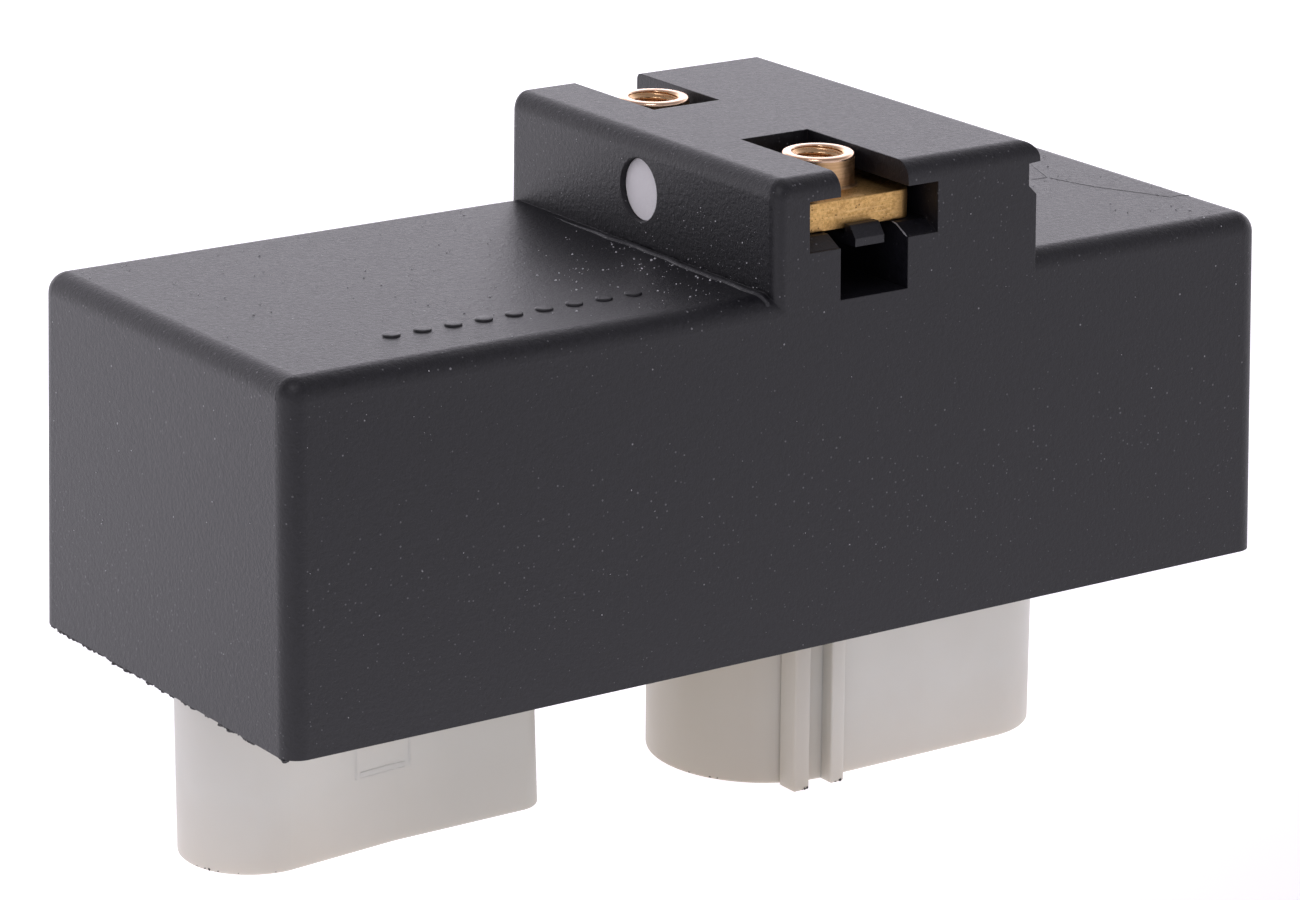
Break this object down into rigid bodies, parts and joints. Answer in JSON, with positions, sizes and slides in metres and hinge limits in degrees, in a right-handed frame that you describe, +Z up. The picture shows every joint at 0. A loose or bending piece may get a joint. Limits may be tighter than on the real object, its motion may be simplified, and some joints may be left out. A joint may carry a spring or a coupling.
{
  "type": "plug-in relay module",
  "caption": "Plug-in relay module: black drafted housing with a T-slot bolting boss on top and off-white blade connector headers underneath.",
  "frame": {"origin": "middle of the footprint, level with the mouths of the connector headers", "axes": "+X along the module, from the power header to the control header; +Y from the front face to the back face; +Z up, towards the bolting boss"},
  "size_m": [0.11, 0.046, 0.0626],
  "materials": {
    "housing_plastic": "fine-grained glass-filled moulding",
    "nut_brass": "sawn flange, turned collar",
    "natural_plastic": "natural off-white moulding",
    "membrane": "fine porous film",
    "sealant": "cured bead",
    "tinned_metal": "tin plated",
    "board_laminate": "solder mask",
    "copper": "bare or enamelled copper",
    "shunt_alloy": "rolled strip",
    "capacitor_can": "drawn can",
    "chip_package": "moulded package",
    "chip_ceramic": "fired ceramic",
    "relay_plastic": "moulded",
    "bobbin_plastic": "moulded",
    "relay_iron": "plated soft iron",
    "contact_bronze": "rolled strip"
  },
  "bodies": {
    "module": {"base_plate": "natural_plastic", "chip_capacitors": "chip_ceramic", "chip_resistors": "chip_ceramic", "circuit_board": "board_laminate", "control_header": "natural_plastic", "control_narrow_blades": "tinned_metal", "control_wide_blades": "tinned_metal", "current_shunt": "shunt_alloy", "driver_transistors": "chip_package", "flyback_diodes": "chip_package", "housing": "housing_plastic", "microcontroller": "chip_package", "output_busbar": "copper", "perimeter_sealant": "sealant", "power_blades": "tinned_metal", "power_header": "natural_plastic", "relay_1_base": "relay_plastic", "relay_1_bobbin": "bobbin_plastic", "relay_1_core": "relay_iron", "relay_1_cover": "relay_plastic", "relay_1_fixed_contact": "contact_bronze", "relay_1_rest_contact": "contact_bronze", "relay_1_winding": "copper", "relay_1_yoke": "relay_iron", "relay_2_base": "relay_plastic", "relay_2_bobbin": "bobbin_plastic", "relay_2_core": "relay_iron", "relay_2_cover": "relay_plastic", "relay_2_fixed_contact": "contact_bronze", "relay_2_rest_contact": "contact_bronze", "relay_2_winding": "copper", "relay_2_yoke": "relay_iron", "relay_3_base": "relay_plastic", "relay_3_bobbin": "bobbin_plastic", "relay_3_core": "relay_iron", "relay_3_cover": "relay_plastic", "relay_3_fixed_contact": "contact_bronze", "relay_3_rest_contact": "contact_bronze", "relay_3_winding": "copper", "relay_3_yoke": "relay_iron", "smoothing_capacitors": "capacitor_can", "supply_busbar": "copper", "vent_membrane": "membrane", "voltage_regulator": "chip_package"},
    "front_nut": {"nut_front": "nut_brass"},
    "rear_nut": {"nut_rear": "nut_brass"},
    "front_latch": {"nut_latch_front": "housing_plastic"},
    "rear_latch": {"nut_latch_rear": "housing_plastic"},
    "relay_1_moving_set": {"relay_1_armature": "relay_iron", "relay_1_contact_spring": "contact_bronze"},
    "relay_2_moving_set": {"relay_2_armature": "relay_iron", "relay_2_contact_spring": "contact_bronze"},
    "relay_3_moving_set": {"relay_3_armature": "relay_iron", "relay_3_contact_spring": "contact_bronze"}
  },
  "joints": [
    {"name": "front_nut_slide", "type": "slide", "parent": "module", "child": "front_nut", "axis": [0, 1, 0], "range_m": [-0.00015, 0.00185]},
    {"name": "rear_nut_slide", "type": "slide", "parent": "module", "child": "rear_nut", "axis": [0, -1, 0], "range_m": [-0.00015, 0.00175]},
    {"name": "front_latch_flex", "type": "hinge", "parent": "module", "child": "front_latch", "pos_m": [0.00785, -0.01055, 0.05568], "axis": [1, 0, 0], "range_deg": [0, 4], "stiffness_Nm_per_rad": 0.05},
    {"name": "rear_latch_flex", "type": "hinge", "parent": "module", "child": "rear_latch", "pos_m": [0.00785, 0.01085, 0.05568], "axis": [-1, 0, 0], "range_deg": [0, 4], "stiffness_Nm_per_rad": 0.05},
    {"name": "relay_1_armature_pull_in", "type": "hinge", "parent": "module", "child": "relay_1_moving_set", "pos_m": [-0.0304, 0.0124, 0.04068], "axis": [0, -1, 0], "range_deg": [0, 4], "stiffness_Nm_per_rad": 0.02, "springref_deg": -5.73},
    {"name": "relay_2_armature_pull_in", "type": "hinge", "parent": "module", "child": "relay_2_moving_set", "pos_m": [-0.0064, 0.0124, 0.04068], "axis": [0, -1, 0], "range_deg": [0, 4], "stiffness_Nm_per_rad": 0.02, "springref_deg": -5.73},
    {"name": "relay_3_armature_pull_in", "type": "hinge", "parent": "module", "child": "relay_3_moving_set", "pos_m": [0.0331, 0.0124, 0.04068], "axis": [0, -1, 0], "range_deg": [0, 4], "stiffness_Nm_per_rad": 0.02, "springref_deg": -5.73}
  ]
}
